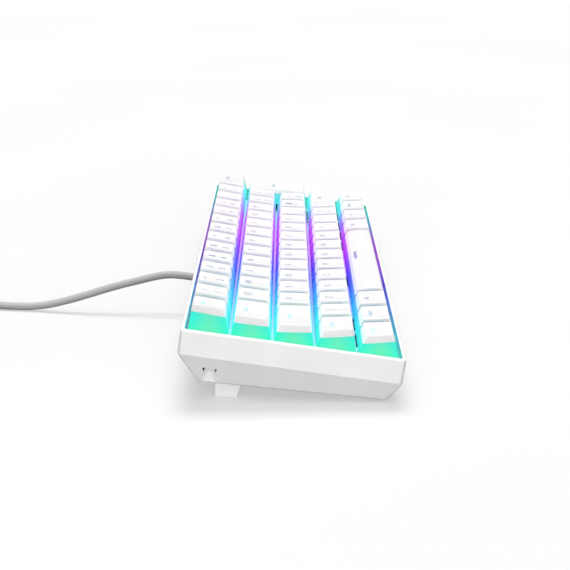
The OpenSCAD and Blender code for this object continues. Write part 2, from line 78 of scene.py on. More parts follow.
class Tree:
    """Short hand for building a node tree."""

    def __init__(self, tree):
        self.tree = tree

    def add(self, kind, **values):
        node = self.tree.nodes.new(kind)
        for key, value in values.items():
            setattr(node, key, value)
        return node

    def link(self, out, socket):
        self.tree.links.new(out, socket)

    def give(self, socket, value):
        """Link a socket to another's output, or set it."""
        if isinstance(value, bpy.types.NodeSocket):
            self.link(value, socket)
        else:
            socket.default_value = value

    def span(self, value, low, high, to_low=0.0, to_high=1.0, way="LINEAR"):
        node = self.add("ShaderNodeMapRange", interpolation_type=way)
        for key, number in (("From Min", low), ("From Max", high), ("To Min", to_low), ("To Max", to_high)):
            node.inputs[key].default_value = number
        self.link(value, node.inputs["Value"])
        return node.outputs["Result"]

    def math(self, kind, *values):
        node = self.add("ShaderNodeMath", operation=kind)
        for socket, value in zip(node.inputs, values):
            self.give(socket, value)
        return node.outputs[0]

    def product(self, *values):
        out = values[0]
        for value in values[1:]:
            out = self.math("MULTIPLY", out, value)
        return out


class Nodes(Tree):
    """A material with its node tree."""

    def __init__(self, name):
        self.mat = bpy.data.materials.new(name)
        self.mat.use_nodes = True
        super().__init__(self.mat.node_tree)
        self.shader = self.tree.nodes["Principled BSDF"]
        self.coordinates = self.add("ShaderNodeTexCoord")
        self.at = self.coordinates.outputs["Object"]

    def put(self, **values):
        for key, value in values.items():
            self.shader.inputs[key.replace("_", " ")].default_value = value

    def noise(self, scale, detail=2.0, at=None):
        node = self.add("ShaderNodeTexNoise")
        node.inputs["Scale"].default_value = scale
        node.inputs["Detail"].default_value = detail
        self.link(at or self.at, node.inputs["Vector"])
        return node.outputs["Fac"]

    def ramp(self, value, stops):
        node = self.add("ShaderNodeValToRGB")
        marks = node.color_ramp.elements
        while len(marks) < len(stops):
            marks.new(0.5)
        for mark, (place, colour) in zip(marks, stops):
            mark.position = place
            mark.color = (*colour, 1)
        self.link(value, node.inputs["Fac"])
        return node.outputs["Color"]

    def mottle(self, scale, dark, light):
        """Two colours in soft clouds."""
        return self.ramp(self.noise(scale, 3), [(0.3, dark), (0.7, light)])

    def mix(self, kind, factor, a, b):
        node = self.add("ShaderNodeMix", data_type="RGBA", blend_type=kind)
        self.give(node.inputs["Factor"], factor)
        for socket, value in ((node.inputs[6], a), (node.inputs[7], b)):
            self.give(socket, (*value, 1) if isinstance(value, tuple) else value)
        return node.outputs[2]

    def axis(self, name):
        """A coordinate in the keyboard's own frame, in metres."""
        place = self.add("ShaderNodeMapping")
        place.inputs["Location"].default_value = ON_DESK.inverted().translation * MM
        place.inputs["Rotation"].default_value = (-TILT, 0, 0)
        self.link(self.at, place.inputs["Vector"])
        node = self.add("ShaderNodeSeparateXYZ")
        self.link(place.outputs["Vector"], node.inputs[0])
        return node.outputs[name]

    def scaled(self, factors):
        node = self.add("ShaderNodeMapping")
        node.inputs["Scale"].default_value = factors
        self.link(self.at, node.inputs["Vector"])
        return node.outputs["Vector"]

    def bump(self, height, strength, distance):
        node = self.add("ShaderNodeBump")
        node.inputs["Strength"].default_value = strength
        node.inputs["Distance"].default_value = distance
        self.link(height, node.inputs["Height"])
        self.link(node.outputs["Normal"], self.shader.inputs["Normal"])

    def colour(self, out):
        self.link(out, self.shader.inputs["Base Color"])

    def rough(self, low, high, scale):
        self.link(self.span(self.noise(scale), 0.3, 0.7, low, high), self.shader.inputs["Roughness"])

    def glow(self, out, strength):
        self.put(Emission_Strength=strength)
        self.link(out, self.shader.inputs["Emission Color"])


def linear(*colour):
    """A colour as the screen shows it, 0 to 255, to scene values."""
    shares = [c / 255 for c in colour]
    return tuple(c / 12.92 if c <= 0.04045 else ((c + 0.055) / 1.055) ** 2.4 for c in shares)


# Scales of the patterns in plastic, and the depth of a fine grain in metres
PLASTIC_CLOUDS, PLASTIC_WEAR = 60, 140
FINE = 0.00002


def moulded(name, dark, light, rough=(0.38, 0.5), grain=2600):
    """Moulded plastic: faint mottling and a fine spark-eroded grain."""
    n = Nodes(name)
    n.colour(n.mottle(PLASTIC_CLOUDS, dark, light))
    n.rough(*rough, PLASTIC_WEAR)
    n.bump(n.noise(grain, 1), 0.35, FINE)
    return n.mat


# Backlight colours along the rows, from the left end to the right
GLOW_STOPS = [
    (0.0, linear(60, 252, 232)),
    (0.12, linear(48, 244, 254)),
    (0.19, linear(48, 205, 254)),
    (0.27, linear(48, 160, 254)),
    (0.34, linear(50, 100, 250)),
    (0.41, linear(80, 60, 250)),
    (0.48, linear(135, 50, 252)),
    (0.56, linear(188, 46, 253)),
    (0.67, linear(196, 62, 254)),
    (0.76, linear(172, 100, 252)),
    (0.84, linear(120, 180, 250)),
    (0.91, linear(75, 238, 246)),
    (1.0, linear(75, 250, 225)),
]
PALE = (0.78, 0.82, 1.0)
DARK = (0.0, 0.0, 0.0)

# The near end of the skirts: its two greens, the warm spots, and where the colours of the rows begin
END_LOW, END_HIGH, END_SPOT = linear(72, 252, 196), linear(58, 252, 228), linear(132, 240, 178)
END_FROM, END_TO = -140.5, -137.5

# Signs are brightest up to the first place, and dim from the second
SIGN_BRIGHT, SIGN_DIM = -125, -105


def glow_colour(n):
    """Colour of the backlight along the rows, a little clouded."""
    colour = n.ramp(n.span(n.axis("X"), -CASE_HALF_L * MM, CASE_HALF_L * MM), GLOW_STOPS)
    clouds = n.ramp(n.noise(120), [(0.3, (0.88, 0.88, 0.88)), (0.7, (1, 1, 1))])
    return n.mix("MULTIPLY", 1.0, colour, clouds)


def finish_lit(n, glow, own, strength, rough):
    n.colour(own)
    n.glow(glow, strength)
    n.rough(*rough, 200)
    n.bump(n.noise(1800, 1), 0.2, FINE)
    return n.mat


def lit(name, own, white, strength, rough, pale):
    """Paint or clear plastic that the backlight shines on or through."""
    n = Nodes(name)
    glow = n.mix("MIX", pale, glow_colour(n), PALE)
    return finish_lit(n, glow, n.mix("MIX", own, glow, white), strength, rough)


def skirt_material():
    """Clear skirt: paler under the white top, and green at the near end with warm spots over the lights."""
    n = Nodes("skirt_clear")
    height = n.axis("Z")
    glow = n.mix("MIX", n.span(height, 0.0, 5.5 * MM, 0.0, 0.28), glow_colour(n), PALE)
    end = n.mix("MIX", n.span(height, SKIRT_Z * MM, 5 * MM), END_LOW, END_HIGH)
    off = n.math("PINGPONG", n.axis("Y"), PITCH / 2 * MM)
    end = n.mix("MIX", n.span(off, 0.5 * MM, 7.5 * MM, 0.55, 0.0), end, END_SPOT)
    glow = n.mix("MIX", n.span(n.axis("X"), END_FROM * MM, END_TO * MM, 1.0, 0.0), glow, end)
    return finish_lit(n, glow, n.mix("MULTIPLY", 1.0, glow, (0.16, 0.16, 0.16)), 0.8, (0.3, 0.4))


def legend_material():
    """Clear signs, brightest at the left end."""
    n = Nodes("legend_clear")
    glow = n.mix("MIX", 0.3, glow_colour(n), PALE)
    own = n.mix("MIX", 0.8, glow, (0.2, 0.19, 0.27))
    share = n.span(n.axis("X"), SIGN_BRIGHT * MM, SIGN_DIM * MM, 1.0, 0.2)
    return finish_lit(n, n.mix("MIX", share, DARK, glow), own, 0.5, (0.35, 0.45))


def cap_material():
    """White shot of the caps: a little of the backlight comes through its thin front and back sides."""
    n = Nodes("cap_white")
    n.colour(n.mottle(PLASTIC_CLOUDS, (0.67, 0.66, 0.665), (0.7, 0.69, 0.695)))
    split = n.add("ShaderNodeSeparateXYZ")
    n.link(n.add("ShaderNodeNewGeometry").outputs["Normal"], split.inputs[0])
    side = n.span(n.math("ABSOLUTE", split.outputs["Y"]), 0.35, 0.8)
    through = n.mix("MIX", 0.75, glow_colour(n), (1.0, 0.95, 1.0))
    n.glow(n.mix("MIX", side, DARK, through), 0.36)
    n.rough(0.42, 0.52, PLASTIC_WEAR)
    n.bump(n.noise(3200, 1), 0.35, 0.000012)
    return n.mat


# White of the case and the feet, and how far down the walls inside the rim are lit
WHITES = (0.83, 0.825, 0.82), (0.87, 0.865, 0.86)
GLOW_DEPTH = -9


def case_material():
    """White moulded plastic, with the backlight on the walls inside the rim."""
    n = Nodes("case_white")
    white = n.mottle(PLASTIC_CLOUDS, *WHITES)
    inside = n.product(
        n.math("LESS_THAN", n.math("ABSOLUTE", n.axis("Y")), (CASE_HALF_W - WALL_T) * MM),
        n.math("LESS_THAN", n.math("ABSOLUTE", n.axis("X")), (CASE_HALF_L - WALL_T) * MM),
        n.span(n.axis("Z"), -0.8 * MM, -0.1 * MM, 1.0, 0.0),
        n.math("GREATER_THAN", n.axis("Z"), GLOW_DEPTH * MM),
    )
    glow = glow_colour(n)
    n.colour(n.mix("MIX", inside, white, n.mix("MULTIPLY", 1.0, glow, (0.2, 0.2, 0.2))))
    n.glow(n.mix("MIX", inside, DARK, n.mix("MIX", 0.12, glow, PALE)), 0.42)
    n.rough(0.3, 0.42, PLASTIC_WEAR)
    n.bump(n.noise(2400, 1), 0.3, FINE)
    return n.mat


def steel(name, tint=(0.55, 0.55, 0.56), rough=(0.24, 0.36)):
    """Drawn or plated steel, with fine lines along X."""
    n = Nodes(name)
    n.colour(n.mottle(220, tuple(c * 0.86 for c in tint), tint))
    n.put(Metallic=1.0)
    n.rough(*rough, 300)
    n.bump(n.noise(900, at=n.scaled((0.1, 1, 1))), 0.2, FINE)
    return n.mat


def board_material():
    """Dark solder mask over paler copper runs."""
    n = Nodes("board_mask")
    bricks = n.add("ShaderNodeTexBrick")
    bricks.inputs["Scale"].default_value = 160
    bricks.inputs["Mortar Size"].default_value = 0.06
    bricks.inputs["Color1"].default_value = (0.012, 0.03, 0.024, 1)
    bricks.inputs["Color2"].default_value = (0.01, 0.022, 0.02, 1)
    bricks.inputs["Mortar"].default_value = (0.03, 0.07, 0.05, 1)
    n.link(n.at, bricks.inputs["Vector"])
    n.colour(bricks.outputs["Color"])
    n.rough(0.25, 0.4, 200)
    n.bump(bricks.outputs["Fac"], 0.2, 0.00003)
    return n.mat


def rubber(name, dark, light):
    """Dull rubber or woven strip."""
    n = Nodes(name)
    n.colour(n.mottle(300, dark, light))
    n.rough(0.7, 0.85, 400)
    n.bump(n.noise(1500), 0.4, 2 * FINE)
    return n.mat


# Strands of the sleeve: turns of phase round the cable, and along the whole of it
BRAID_ROUND = 2 * math.pi * 6
BRAID_ALONG = 2 * math.pi * 1100


def braid(name, dark, light):
    """Woven sleeve: two families of strands crossing, counted round and along the cable."""
    n = Nodes(name)
    split = n.add("ShaderNodeSeparateXYZ")
    n.link(n.coordinates.outputs["UV"], split.inputs[0])
    along = n.math("MULTIPLY", split.outputs["X"], BRAID_ALONG)
    strands = [n.math("SINE", n.math("MULTIPLY_ADD", split.outputs["Y"], sign * BRAID_ROUND, along))
               for sign in (1, -1)]
    height = n.span(n.product(*strands), -1, 1)
    n.colour(n.ramp(height, [(0.15, dark), (0.75, light)]))
    n.put(Roughness=0.75, Sheen_Weight=0.15)
    n.bump(height, 0.4, 0.0001)
    return n.mat


WHITE_CAP = cap_material()
CASE_WHITE = case_material()
FOOT_WHITE = moulded("foot_white", *WHITES, (0.42, 0.55), 2400)
# Black plastic; also put on the walls of the holes beside the feet as painted shade
BLACK = moulded("black_plastic", (0.008, 0.008, 0.009), (0.018, 0.018, 0.02), (0.4, 0.55))
SKIRT = skirt_material()
PLATE = lit("plate_white", 0.55, (0.5, 0.5, 0.55), 0.5, (0.35, 0.5), 0.45)
LENS_GLOW = lit("led_lens", 0.4, (0.9, 0.9, 0.9), 1.5, (0.1, 0.2), 0.5)
LEGEND = legend_material()
STEEL = steel("steel_wire")
PLATED = steel("plated_shell", (0.72, 0.71, 0.69), (0.16, 0.26))
BOARD = board_material()
PAD_RUBBER = rubber("pad_rubber", (0.05, 0.05, 0.05), (0.08, 0.08, 0.08))
GROMMET_RUBBER = rubber("grommet_rubber", (0.55, 0.55, 0.54), (0.66, 0.66, 0.65))
PLUG_GRIP = moulded("plug_grip", (0.62, 0.62, 0.61), (0.7, 0.7, 0.69), (0.5, 0.62))
HEADER = moulded("header_nylon", (0.62, 0.58, 0.45), (0.7, 0.66, 0.54))
TIE = rubber("tie_strip", (0.012, 0.012, 0.013), (0.03, 0.03, 0.032))
CABLE = braid("cable_braid", (0.33, 0.315, 0.315), (0.43, 0.415, 0.415))


# Cable, along the same points as the solids: out of the case, down to the desk, and wound up in two layers

CABLE_D = 4.0
CABLE_X = -12.0
OUTLET = (CABLE_X, 49.5, -16.5)
LAY = [
    (0, 66, 20.6), (0, 74, 19.3), (-0.5, 82, 17.4), (-1, 90, 15.5), (-1.5, 98, 13.3),
    (-2, 106, 10.9), (-2, 114, 8.4), (-1.5, 122, 6), (-1, 131, 3.8), (0, 140, 2.5),
    (1, 150, 2.2), (2, 160, 2.4), (2.5, 171, 2.6), (2.5, 182, 2.8), (2.25, 192, 2.8),
]
COIL_R, COIL_STEP, COIL_RISE = 14.0, 5.0, 4.8
TURNS_IN, TURNS_UP, TURNS_OUT = 4.25, 0.5, 4.5
COIL_OUTER = COIL_R + TURNS_IN * COIL_STEP
COIL_LAST = COIL_R + TURNS_OUT * COIL_STEP
COIL_AT = (CABLE_X + LAY[-1][0] - COIL_OUTER, 206.0)
TIE_T, TIE_GAP = 0.5, 0.3
COIL_Z = TIE_T + TIE_GAP + CABLE_D / 2
COIL_POINTS = 16
PLUG_Z = 4.25
TAIL = 26.0


def coil_point(u):
    if u < TURNS_IN:
        r = COIL_OUTER - COIL_STEP * u
    else:
        r = COIL_R + COIL_STEP * max(u - TURNS_IN - TURNS_UP, 0)
    z = COIL_Z + COIL_RISE * min(max((u - TURNS_IN) / TURNS_UP, 0), 1)
    return (COIL_AT[0] + r * math.cos(math.tau * u), COIL_AT[1] + r * math.sin(math.tau * u), z)


def tail_point(s):
    drop = (COIL_Z + COIL_RISE - PLUG_Z) * (1 + math.cos(math.pi * s / TAIL)) / 2
    return (COIL_AT[0] - s, COIL_AT[1] + COIL_LAST, PLUG_Z + drop)


def cable_points():
    out = ON_DESK @ Vector(OUTLET)
    ahead = ON_DESK.to_3x3() @ Vector((0, 1, 0))
    points = [out, out + ahead * CABLE_D, out + ahead * 2 * CABLE_D]
    points += [Vector((CABLE_X + x, y, z)) for x, y, z in LAY]
    start = Vector(coil_point(0))
    points.append(start - Vector((0, CABLE_D, 0)))
    turns = TURNS_IN + TURNS_UP + TURNS_OUT
    points += [Vector(coil_point(i / COIL_POINTS)) for i in range(round(turns * COIL_POINTS) + 1)]
    points += [Vector(tail_point(s)) for s in (6, 12, 18, 22, TAIL)]
    points.append(points[-1] - Vector((CABLE_D, 0, 0)))
    return [p * MM for p in points]


def path_length(points):
    return sum((b - a).length for a, b in zip(points, points[1:]))


def make_cable():
    points = cable_points()
    data = bpy.data.curves.new("cable", "CURVE")
    data.dimensions = "3D"
    data.resolution_u = 4
    data.bevel_depth = CABLE_D / 2 * MM
    data.bevel_resolution = 3
    data.use_fill_caps = True
    spline = data.splines.new("BEZIER")
    spline.bezier_points.add(len(points) - 1)
    for knot, p in zip(spline.bezier_points, points):
        knot.co = p
        knot.handle_left_type = knot.handle_right_type = "AUTO"
    cable = bpy.data.objects.new("cable", data)
    cable.data.materials.append(CABLE)
    bpy.context.collection.objects.link(cable)
    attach(cable, "case")
    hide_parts("usb_cable", "cable_coil")
    return cable, points


# Pieces made from a solid's own shape, with its edges rounded off

# Angles in degrees: faces that are one plane, edges that get rounded, and edges that look smooth
FLAT_UNDER, SHARP_OVER, SMOOTH_UNDER = 0.5, 25, 40


def solid_mesh(node):
    bm = bmesh.new()
    bm.from_mesh(nodes[node].data)
    bmesh.ops.remove_doubles(bm, verts=bm.verts, dist=1e-6)
    return bm


def mesh_object(name, bm):
    me = bpy.data.meshes.new(name)
    bm.to_mesh(me)
    bm.free()
    ob = bpy.data.objects.new(name, me)
    bpy.context.collection.objects.link(ob)
    return ob


def finish_piece(name, bm, materials, body, node, smooth=SMOOTH_UNDER):
    bmesh.ops.recalc_face_normals(bm, faces=bm.faces)
    piece = mesh_object(name, bm)
    me = piece.data
    me.polygons.foreach_set("use_smooth", [True] * len(me.polygons))
    me.set_sharp_from_angle(angle=math.radians(smooth))
    for mat in materials:
        me.materials.append(mat)
    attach(piece, body)
    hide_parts(node)
    return piece


def triangulate_wide(bm):
    bmesh.ops.triangulate(bm, faces=[f for f in bm.faces if len(f.verts) > 4])


def rounded(node, name, material, body, width):
    bm = solid_mesh(node)
    bmesh.ops.dissolve_limit(bm, angle_limit=math.radians(FLAT_UNDER), verts=bm.verts, edges=bm.edges)
    sharp = math.radians(SHARP_OVER)
    edges = [e for e in bm.edges if len(e.link_faces) == 2 and e.calc_face_angle(0) > sharp]
    bmesh.ops.bevel(bm, geom=edges, offset=width * MM, segments=3, profile=0.5, affect="EDGES",
                    clamp_overlap=True)
    triangulate_wide(bm)
    return finish_piece(name, bm, [material], body, node)


# Keycaps

SLOPE = 0.25
CAP_GAP = 0.95
WALL = 1.35
ROOF_T = 2.2
LOWER_EDGE = 0.15
WHITE_H = 3.35
DISH, SPACE_CROWN = 0.75, 0.9
CAP_SMOOTH = 30

# Edge of the top: how round it is, its share inwards, and how far its foot stands out
TOP_R = 1.1
FILLET, FILLET_IN, FILLET_STEPS = 0.5, 0.9, 4
FILLET_OUT = 0.05

# Step from the clear shot out to the white one
STEP_LOW, STEP = 0.07, 0.1

# Rings on the top, as shares of the way to its middle
TOP_SHARES = (0.22, 0.45, 0.68, 0.86)

# From the back row to the front: height, tip in degrees, and lean of the back and front sides
ROW_TOP = (10.3, 8.4, 7.7, 8.2, 8.3)
ROW_TIP = (-2.4, 0.6, 6.6, 10.6, 11.1)
ROW_LEAN = ((0.05, 0.3), (0.12, 0.3), (0.2, 0.29), (0.24, 0.27), (0.24, 0.36))
ENTER_TOP, ENTER_TIP, ENTER_LEAN = 8.1, 3.5, (0.12, 0.29)

# Places in pitches: where rows start, and the middle of the enter key from there
MIDDLE_ROW = 2
ROW_START = -7.5
ENTER_COLUMN = 14.375

# Steps of a rounded corner, and the length of one along a side
ARC = 5
SIDE_STEP = 2.6

# Post under a cap, and the height that the solids below the caps stay under
POST_D, POST_Z, POST_IN, POST_SIDES = 5.6, -0.7, 0.1, 8
UNDER_CAPS = 4

# A cap's materials, by their places in its list
TOP_SHOT, CLEAR_SHOT, SIGNS, STEMS = range(4)


def outline(corners, inset, r, arc=ARC, side_step=SIDE_STEP):
    """Points round a shape with square corners, drawn in by inset and rounded by r: always as many."""
    n = len(corners)
    ways = [(Vector(corners[(i + 1) % n]) - Vector(corners[i])).normalized() for i in range(n)]
    lefts = [Vector((-w.y, w.x)) for w in ways]
    arcs = []
    for i in range(n):
        before, left, after = ways[i - 1], lefts[i - 1], lefts[i]
        v = Vector(corners[i]) + (left + after) * inset
        turn = 1 if before.cross(ways[i]) > 0 else -1
        start = v - before * r
        centre = start + left * r * turn
        steps = [k / arc * math.pi / 2 for k in range(arc + 1)]
        arcs.append([centre + (start - centre) * math.cos(a) + before * r * math.sin(a) for a in steps])
    points = []
    for i in range(n):
        points += arcs[i]
        full = (Vector(corners[(i + 1) % n]) - Vector(corners[i])).length
        m = max(1, round(full / side_step))
        a, b = arcs[i][-1], arcs[(i + 1) % n][0]
        points += [a.lerp(b, k / m) for k in range(1, m)]
    return points


class Cap:
    """One keycap: its plan, and the shape of its top."""

    def __init__(self, corners, at, top, tip, lean, dish=DISH, crown=0.0):
        self.corners = corners
        self.at = at
        self.top = top
        self.tip = math.tan(math.radians(tip))
        self.back, self.front = lean
        self.dish = dish
        self.crown = crown
        xs = [c[0] for c in corners]
        self.deep = max(c[1] for c in corners)
        edge = top - SKIRT_Z
        self.mid = ((min(xs) + max(xs)) / 2, (self.front - self.back) / 2 * edge)
        wide = (max(xs) - min(xs)) / 2
        self.half = (wide - SLOPE * edge, self.deep - (self.front + self.back) / 2 * edge)
        self.roof = top - ROOF_T - dish

    def lean(self, p, z):
        """Point of a ring that leans alike on all sides, moved to the cap's lean at its front and back."""
        rise = z - SKIRT_Z
        even = self.deep - SLOPE * rise
        own = self.deep - (self.front + self.back) / 2 * rise
        return Vector((p.x, p.y * own / even + (self.front - self.back) / 2 * rise))

    def hollow(self, x, y):
        """How far the top lies under its rim."""
        u = min(abs(x - self.mid[0]) / self.half[0], 1)
        v = min(abs(y - self.mid[1]) / self.half[1], 1)
        return self.dish * (1 - u * u) + self.crown * v * v

    def top_z(self, x, y):
        return self.top - self.tip * y - self.hollow(x, y)

    def ring(self, z, tipped, inset, r, hollow):
        """Points at a level: the inset is the middle's, and follows the side's lean where it is tipped."""
        near, far = outline(self.corners, inset, r), outline(self.corners, inset + 1, r)
        points = []
        for a, b in zip(near, far):
            rise = -self.tip * self.lean(a, z).y if tipped else 0.0
            p = self.lean(a + (b - a) * (SLOPE * rise), z + rise)
            points.append(Vector((p.x, p.y, z + rise - hollow * self.hollow(p.x, p.y))))
        return points


def levels(cap):
    """Rings of a cap from its hollow, round the lower edge and up over the top, with their materials."""

    def lean(z):
        return SLOPE * (z - SKIRT_Z)

    edge = cap.top - WHITE_H
    brow = cap.top - FILLET
    base = lean(brow) - FILLET_OUT
    inner = base + FILLET_IN * FILLET
    # Height, tipped or level, inset, corner radius, share of the dish, material
    rings = [
        (cap.roof, True, WALL + lean(cap.roof), 1.0, 0, CLEAR_SHOT),
        (SKIRT_Z, False, WALL, 0.4, 0, CLEAR_SHOT),
        (SKIRT_Z, False, LOWER_EDGE, 0.7, 0, CLEAR_SHOT),
        (SKIRT_Z + LOWER_EDGE, False, SLOPE * LOWER_EDGE, 0.8, 0, CLEAR_SHOT),
        (edge, True, lean(edge), 0.9, 0, TOP_SHOT),
        (edge, True, lean(edge) - STEP_LOW, 0.95, 0, TOP_SHOT),
        (edge + STEP, True, lean(edge + STEP) - STEP, 0.95, 0, TOP_SHOT),
        (brow, True, base, TOP_R, 1, TOP_SHOT),
    ]
    for k in range(1, FILLET_STEPS + 1):
        a = k / FILLET_STEPS * math.pi / 2
        inset = base + FILLET_IN * FILLET * (1 - math.cos(a))
        rings.append((brow + FILLET * math.sin(a), True, inset, TOP_R, 1, TOP_SHOT))
    room = min(cap.half) - 1
    for share in TOP_SHARES:
        rings.append((cap.top, True, inner + share * room, max(TOP_R * (1 - share), 0.3), 1, TOP_SHOT))
    return rings


def add_ring_faces(bm, low, high, mat):
    n = len(low)
    for i in range(n):
        f = bm.faces.new((low[i], low[(i + 1) % n], high[(i + 1) % n], high[i]))
        f.material_index = mat


def add_cap(bm, cap):
    place = Matrix.Translation((*cap.at, 0))
    rows = []
    for z, tipped, inset, r, hollow, mat in levels(cap):
        rows.append(([bm.verts.new(place @ p) for p in cap.ring(z, tipped, inset, r, hollow)], mat))
    for (low, mat), (high, _) in zip(rows, rows[1:]):
        add_ring_faces(bm, low, high, mat)
    bm.faces.new(list(reversed(rows[0][0]))).material_index = CLEAR_SHOT
    last = bm.faces.new(rows[-1][0])
    bmesh.ops.triangulate(bm, faces=[last])
    add_post(bm, place, cap.roof + POST_IN)


def add_post(bm, place, top):
    """Eight-sided post in the hollow that grips the switch's stem."""
    turns = [k * math.tau / POST_SIDES for k in range(POST_SIDES)]
    ring = [Vector((math.cos(a), math.sin(a), 0)) * POST_D / 2 for a in turns]
    low, high = ([bm.verts.new(place @ (p + Vector((0, 0, z)))) for p in ring] for z in (POST_Z, top))
    add_ring_faces(bm, low, high, CLEAR_SHOT)
    for cover in (list(reversed(low)), high):
        bm.faces.new(cover).material_index = CLEAR_SHOT


def box_corners(width):
    x, y = (width * PITCH - CAP_GAP) / 2, (PITCH - CAP_GAP) / 2
    return [(-x, -y), (x, -y), (x, y), (-x, y)]


def enter_corners():
    """Two rows tall and a quarter wider at the back."""
    x, y = (1.25 * PITCH - CAP_GAP) / 2, PITCH - CAP_GAP / 2
    wide = x - (1.5 * PITCH - CAP_GAP)
    step = CAP_GAP / 2
    return [(-x, -y), (x, -y), (x, y), (wide, y), (wide, step), (-x, step)]


# Letters and signs, drawn as thin solids set in the tops

LETTER_H = 3.3
WORD_H = 2.3
CAPITAL = 0.682
LETTER_DEEP = 0.12
LETTER_PROUD = 0.09
BACK_AT, FRONT_AT = 2.9, -3.2
DASH, DASH_AT = (13.5, 1.4), (5.0, 5.1)


def sign_mesh(text):
    """Flat mesh of a sign in the plain built-in face, centred across, with its capitals CAPITAL high."""
    data = bpy.data.curves.new("sign", "FONT")
    data.body = text
    data.size = 1.0
    data.align_x = "CENTER"
    data.resolution_u = 3
    ob = bpy.data.objects.new("sign", data)
    bpy.context.collection.objects.link(ob)
    me = bpy.data.meshes.new_from_object(ob.evaluated_get(bpy.context.evaluated_depsgraph_get()))
    bpy.data.objects.remove(ob)
    bpy.data.curves.remove(data)
    return me


def add_sign(bm, cap, text, height, y):
    me = sign_mesh(text)
    part = bmesh.new()
    part.from_mesh(me)
    bpy.data.meshes.remove(me)
    bmesh.ops.remove_doubles(part, verts=part.verts, dist=1e-5)
    scale = height / CAPITAL
    for v in part.verts:
        v.co = Vector((v.co.x * scale, (v.co.y - CAPITAL / 2) * scale + cap.mid[1] + y, 0))
    set_in_top(bm, cap, part)


def add_dash(bm, cap):
    """Plain dash on the space bar."""
    part = bmesh.new()
    bmesh.ops.create_grid(part, x_segments=10, y_segments=1, size=0.5)
    for v in part.verts:
        v.co = Vector((v.co.x * DASH[0] + DASH_AT[0], v.co.y * DASH[1] + DASH_AT[1], 0))
    set_in_top(bm, cap, part)


def set_in_top(bm, cap, part):
    """Thicken a flat shape, follow the cap's top with it and join it to the caps."""
    made = bmesh.ops.extrude_face_region(part, geom=part.faces[:])
    high = {v for v in made["geom"] if isinstance(v, bmesh.types.BMVert)}
    for v in part.verts:
        v.co.z = cap.top_z(v.co.x, v.co.y) + (LETTER_PROUD if v in high else -LETTER_DEEP)
        v.co.x += cap.at[0]
        v.co.y += cap.at[1]
    join(bm, part, SIGNS)


def join(bm, part, mat):
    """Move a part into a mesh, with one material."""
    for f in part.faces:
        f.material_index = mat
    scrap = bpy.data.meshes.new("scrap")
    part.to_mesh(scrap)
    part.free()
    bm.from_mesh(scrap)
    bpy.data.meshes.remove(scrap)


# Rows from back to front: node, width in pitches, sign at the back of the top, sign at its front

DIGITS = [("1", "!"), ("2", "\""), ("3", "£"), ("4", "$"), ("5", "%"), ("6", "^"), ("7", "&"), ("8", "*"),
          ("9", "("), ("0", ")"), ("-", "_"), ("=", "+")]


def pairs(node, signs):
    return [(node, 1, upper, lower) for lower, upper in signs]


def letters(word):
    return [("key_" + c, 1, c.upper(), "") for c in word]


PUNCTUATION = "punctuation_keys"
ROWS = [
    [("key_escape", 1, "Esc", "")] + pairs("number_keys", DIGITS) + [("key_backspace", 2, "Back", "")],
    [("key_tab", 1.5, "Tab", "")] + letters("qwertyuiop") + pairs(PUNCTUATION, [("[", "{"), ("]", "}")]),
    [("key_caps_lock", 1.75, "Caps", "")] + letters("asdfghjkl")
    + pairs(PUNCTUATION, [(";", ":"), ("'", "@"), ("#", "~")]),
    [("key_left_shift", 1.25, "Shift", "")] + pairs(PUNCTUATION, [("\\", "|")]) + letters("zxcvbnm")
    + pairs(PUNCTUATION, [(",", "<"), (".", ">"), ("/", "?")]) + [("key_right_shift", 2.75, "Shift", "")],
    [("modifier_keys", 1.25, word, "") for word in ("Ctrl", "Super", "Alt")] + [("key_space", 6.25, "", "")]
    + [("modifier_keys", 1.25, word, "") for word in ("Alt", "Fn", "Menu", "Ctrl")],
]


def all_caps():
    """Every cap with its node and signs."""
    caps = []
    for r, row in enumerate(ROWS):
        start = ROW_START
        for node, width, back, front in row:
            at = ((start + width / 2) * PITCH, (MIDDLE_ROW - r) * PITCH)
            start += width
            form = (0.0, SPACE_CROWN) if node == "key_space" else (DISH, 0.0)
            cap = Cap(box_corners(width), at, ROW_TOP[r], ROW_TIP[r], ROW_LEAN[r], *form)
            caps.append((node, cap, back, front))
    at = ((ROW_START + ENTER_COLUMN) * PITCH, PITCH / 2)
    enter = Cap(enter_corners(), at, ENTER_TOP, ENTER_TIP, ENTER_LEAN)
    caps.append(("key_enter", enter, "Enter", ""))
    return caps


def islands(bm):
    """Groups of points that edges join."""
    seen = set()
    for v in bm.verts:
        if v in seen:
            continue
        group, todo = [], [v]
        seen.add(v)
        while todo:
            w = todo.pop()
            group.append(w)
            fresh = {e.other_vert(w) for e in w.link_edges} - seen
            seen |= fresh
            todo += fresh
        yield group


def add_sliders(bm, node):
    """The node's own sliders and inserts, which are the pieces that stay under the caps."""
    part = solid_mesh(node)
    part.transform(FROM_SCENE)
    caps = [v for group in islands(part) if max(v.co.z for v in group) > UNDER_CAPS for v in group]
    bmesh.ops.delete(part, geom=caps, context="VERTS")
    join(bm, part, STEMS)


def make_keys():
    by_node = {}
    for node, cap, back, front in all_caps():
        by_node.setdefault(node, []).append((cap, back, front))
    for node, group in by_node.items():
        bm = bmesh.new()
        for cap, back, front in group:
            add_cap(bm, cap)
            if back:
                add_sign(bm, cap, back, LETTER_H if len(back) == 1 else WORD_H, BACK_AT)
            if front:
                add_sign(bm, cap, front, LETTER_H, FRONT_AT)
            if node == "key_space":
                add_dash(bm, cap)
        add_sliders(bm, node)
        bm.transform(TO_SCENE)
        materials = [WHITE_CAP, SKIRT, LEGEND, BLACK]
        finish_piece(node + "_cap", bm, materials, node, node, CAP_SMOOTH)


# Case: the solid, trimmed by a skin a hair inside it that has rounded edges

